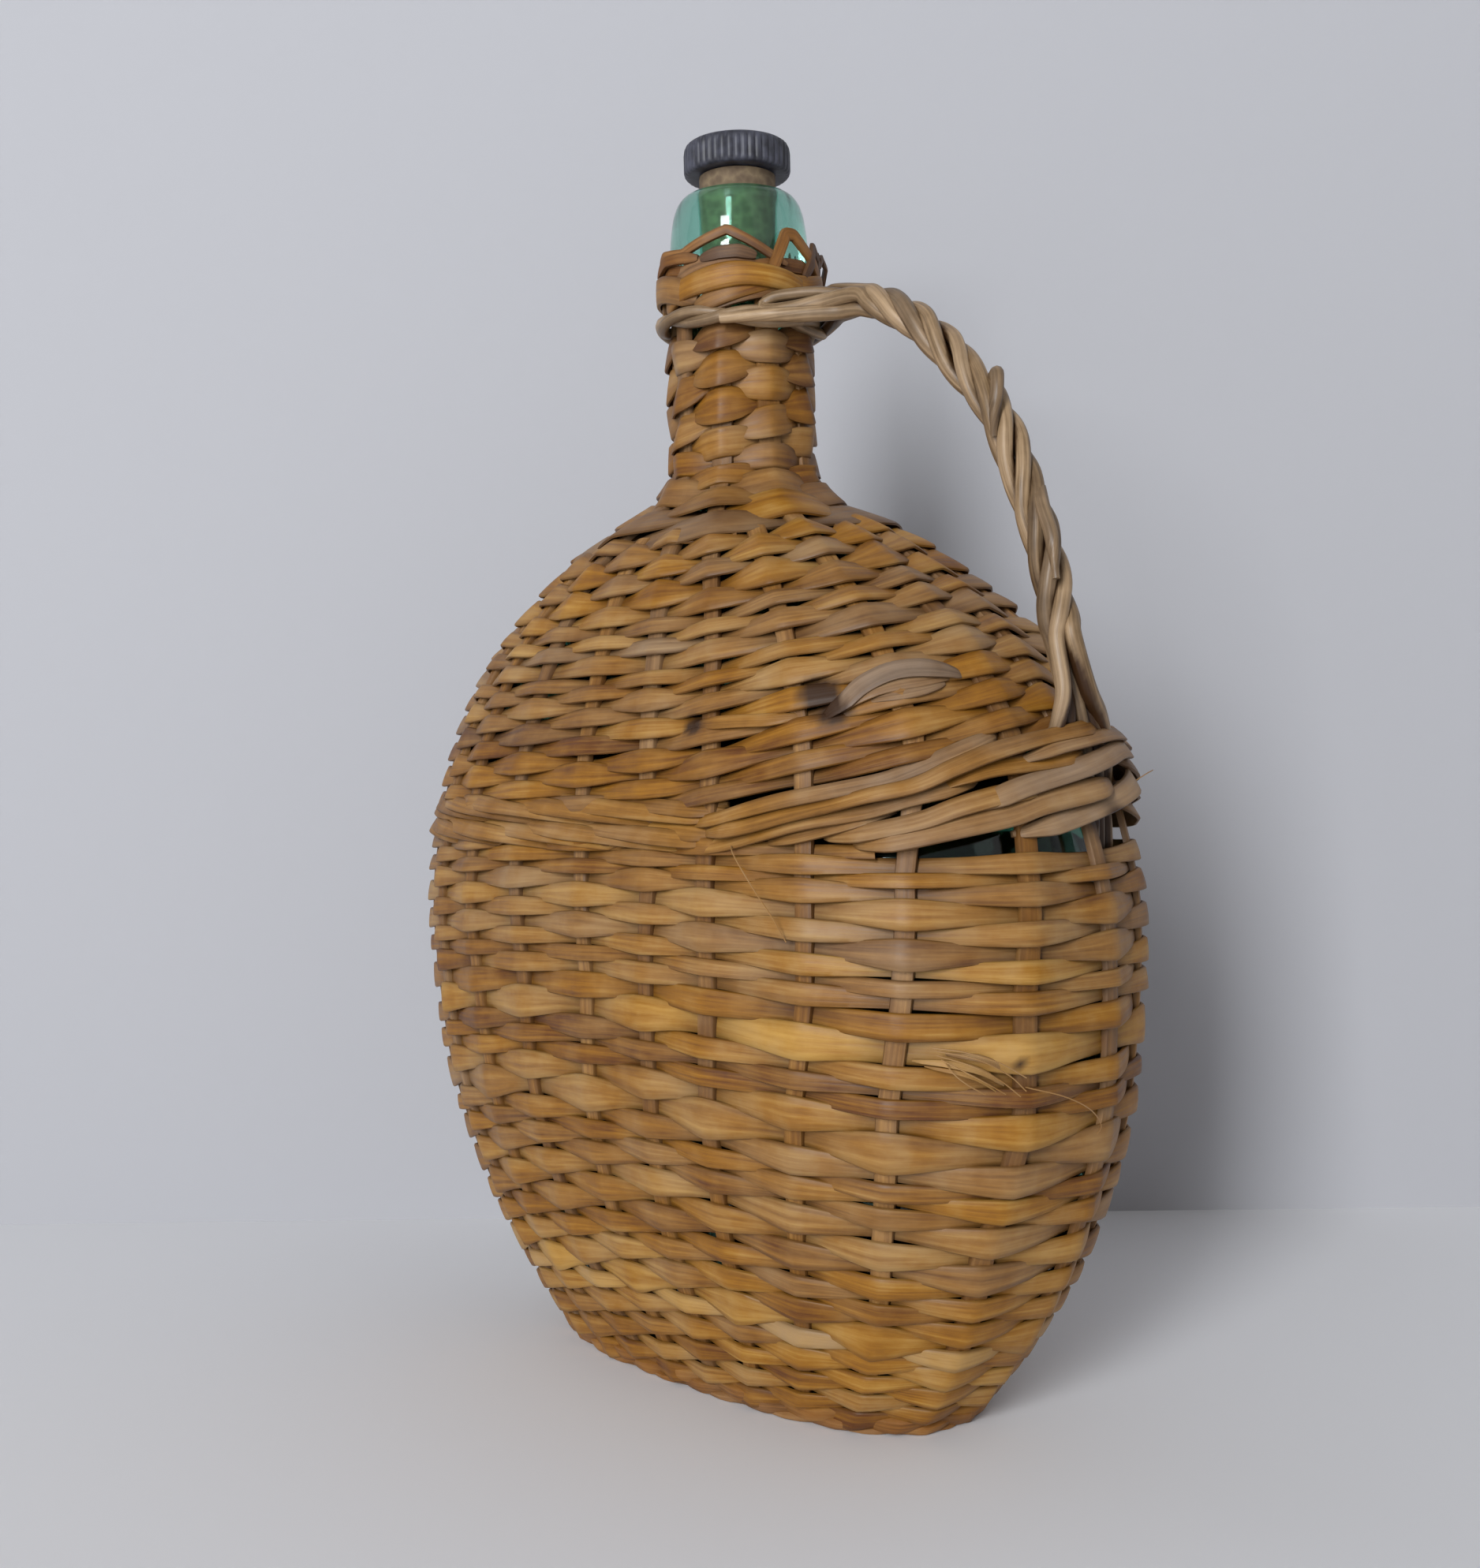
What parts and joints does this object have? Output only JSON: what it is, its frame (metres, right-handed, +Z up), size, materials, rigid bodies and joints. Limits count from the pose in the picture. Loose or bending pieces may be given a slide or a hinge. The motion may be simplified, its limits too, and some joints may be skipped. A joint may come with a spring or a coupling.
{
  "type": "wicker-covered pilgrim flask",
  "caption": "Flattened oval glass bottle covered in woven split willow, with a twisted rod handle from neck to shoulder, a thick woven foot and a cork stopper with a fluted head.",
  "frame": {"origin": "middle of the foot, on the surface that the flask stands on, under the mouth's axis", "axes": "+Z up along the mouth's axis, +X to the handle side across the broad faces, +Y to the rear broad face"},
  "size_m": [0.2448, 0.1302, 0.3552],
  "materials": {
    "bottle_glass": "smooth blown teal glass",
    "cork": "agglomerated cork, matte",
    "slate_plastic": "moulded, satin",
    "willow_stake": "split willow, matte",
    "willow_weaver": "split willow, satin rind",
    "willow_band": "weathered split willow, matte",
    "willow_rod": "peeled willow rod, satin",
    "willow_border": "dark willow, matte"
  },
  "bodies": {
    "flask": {"glass_bottle": "bottle_glass", "base_weave": "willow_stake", "foot_border": "willow_border", "neck_border": "willow_border", "weft_lower": "willow_weaver", "weft_middle": "willow_weaver", "weft_upper": "willow_weaver", "weft_shoulder": "willow_weaver", "weft_neck": "willow_weaver", "weft_collar": "willow_weaver", "stake_01": "willow_stake", "stake_02": "willow_stake", "stake_03": "willow_stake", "stake_04": "willow_stake", "stake_05": "willow_stake", "stake_06": "willow_stake", "stake_07": "willow_stake", "stake_08": "willow_stake", "stake_09": "willow_stake", "stake_10": "willow_stake", "stake_11": "willow_stake", "stake_12": "willow_stake", "stake_13": "willow_stake", "stake_14": "willow_stake", "stake_15": "willow_stake", "stake_16": "willow_stake", "stake_17": "willow_stake", "stake_18": "willow_stake", "stake_19": "willow_stake", "stake_20": "willow_stake", "stake_21": "willow_stake", "stake_22": "willow_stake", "stake_23": "willow_stake", "band_strand_1": "willow_band", "band_strand_2": "willow_band", "band_strand_3": "willow_band", "band_strand_4": "willow_band", "handle_rod_1": "willow_rod", "handle_rod_2": "willow_rod", "handle_rod_3": "willow_rod", "handle_rod_4": "willow_rod", "neck_ring_1": "willow_rod", "neck_ring_2": "willow_rod"},
    "stopper": {"stopper_cork": "cork", "stopper_cap": "slate_plastic"}
  },
  "joints": [
    {"name": "stopper_pull", "type": "slide", "parent": "flask", "child": "stopper", "axis": [0, 0, 1], "range_m": [0, 0.035]}
  ]
}
